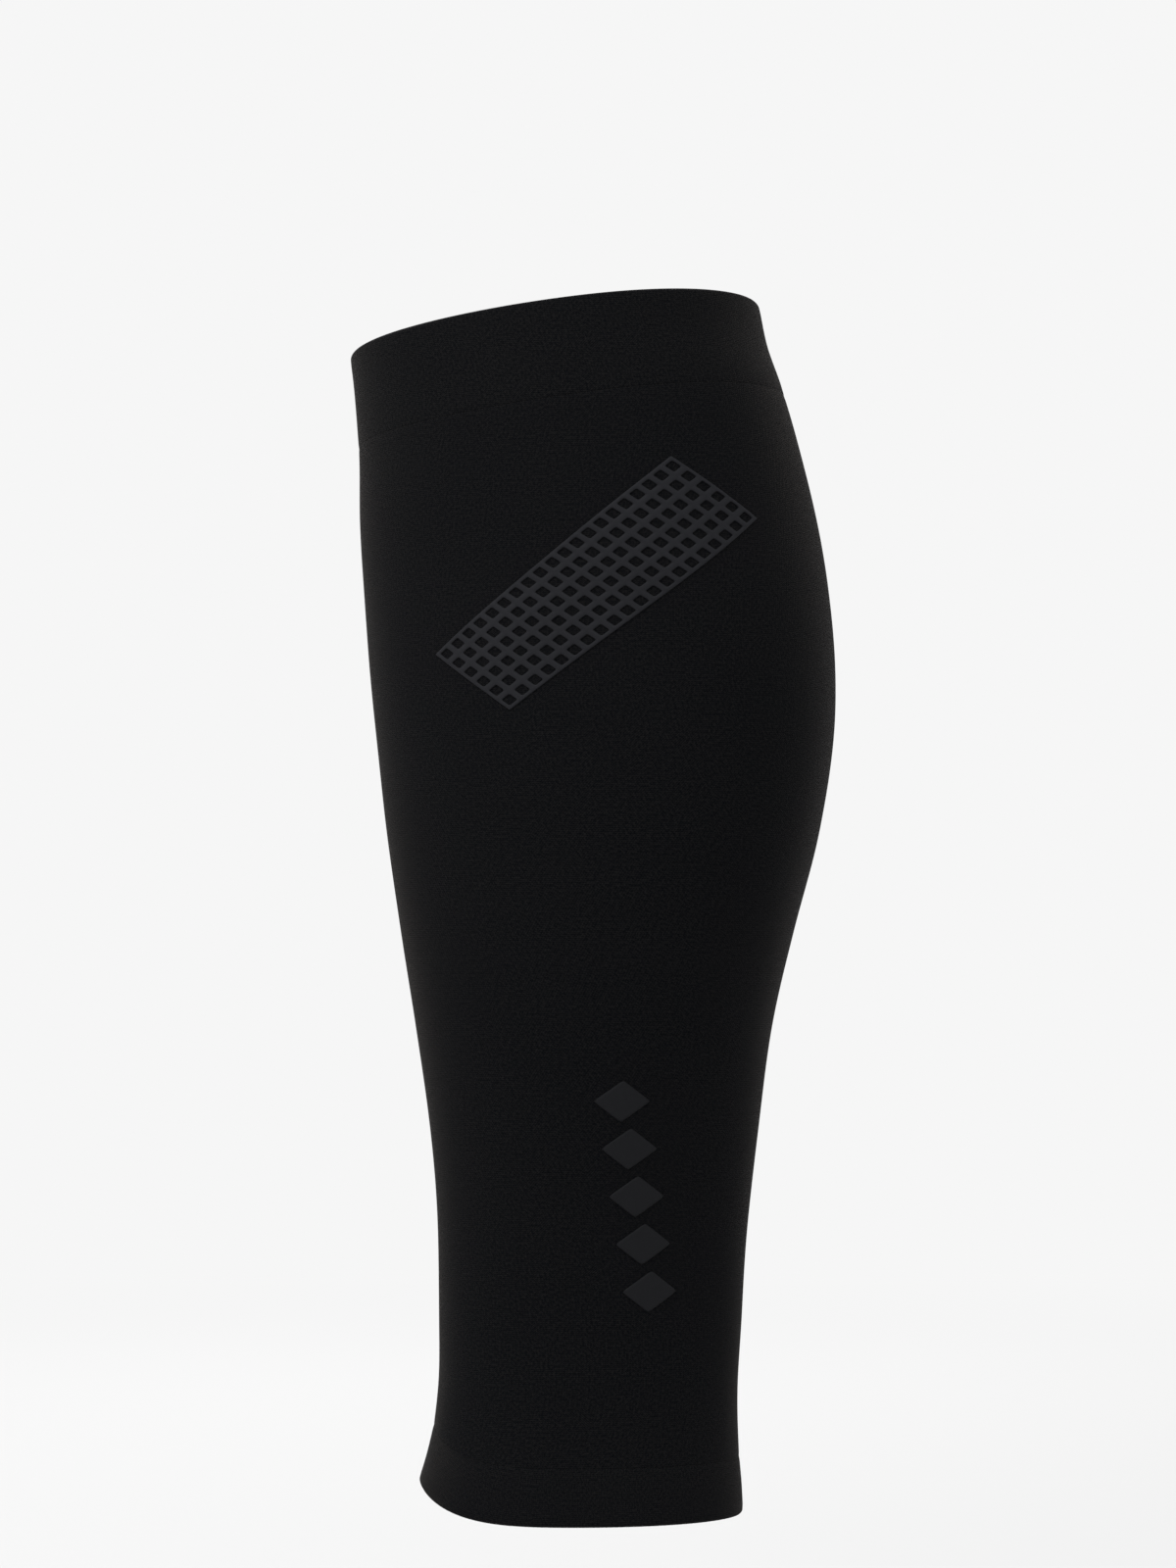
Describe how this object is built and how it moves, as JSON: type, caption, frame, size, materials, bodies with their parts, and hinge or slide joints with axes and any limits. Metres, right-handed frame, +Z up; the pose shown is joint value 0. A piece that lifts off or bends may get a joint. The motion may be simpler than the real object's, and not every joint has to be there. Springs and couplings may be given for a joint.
{
  "type": "calf compression sleeve",
  "caption": "Black knitted calf compression sleeve in its worn form, open at knee and ankle, with turned hems, a flatlock seam and a diamond net print.",
  "frame": {"origin": "middle of the ankle opening, level with the lowest point of the ankle rim", "axes": "+Z up the leg to the knee, +X to the back of the calf, -Y to the outer side of the left leg"},
  "size_m": [0.1314, 0.1193, 0.3252],
  "materials": {
    "knit": "matt fine knit with a soft sheen",
    "hem": "matt fine knit, turned double",
    "seam": "flatlock stitching",
    "print": "matt rubbery print"
  },
  "bodies": {
    "root": {"main_panel": "knit", "top_hem": "hem", "ankle_hem": "hem", "back_seam": "seam", "net_print": "print", "ankle_mark_1": "print", "ankle_mark_2": "print", "ankle_mark_3": "print", "ankle_mark_4": "print", "ankle_mark_5": "print"}
  },
  "joints": []
}
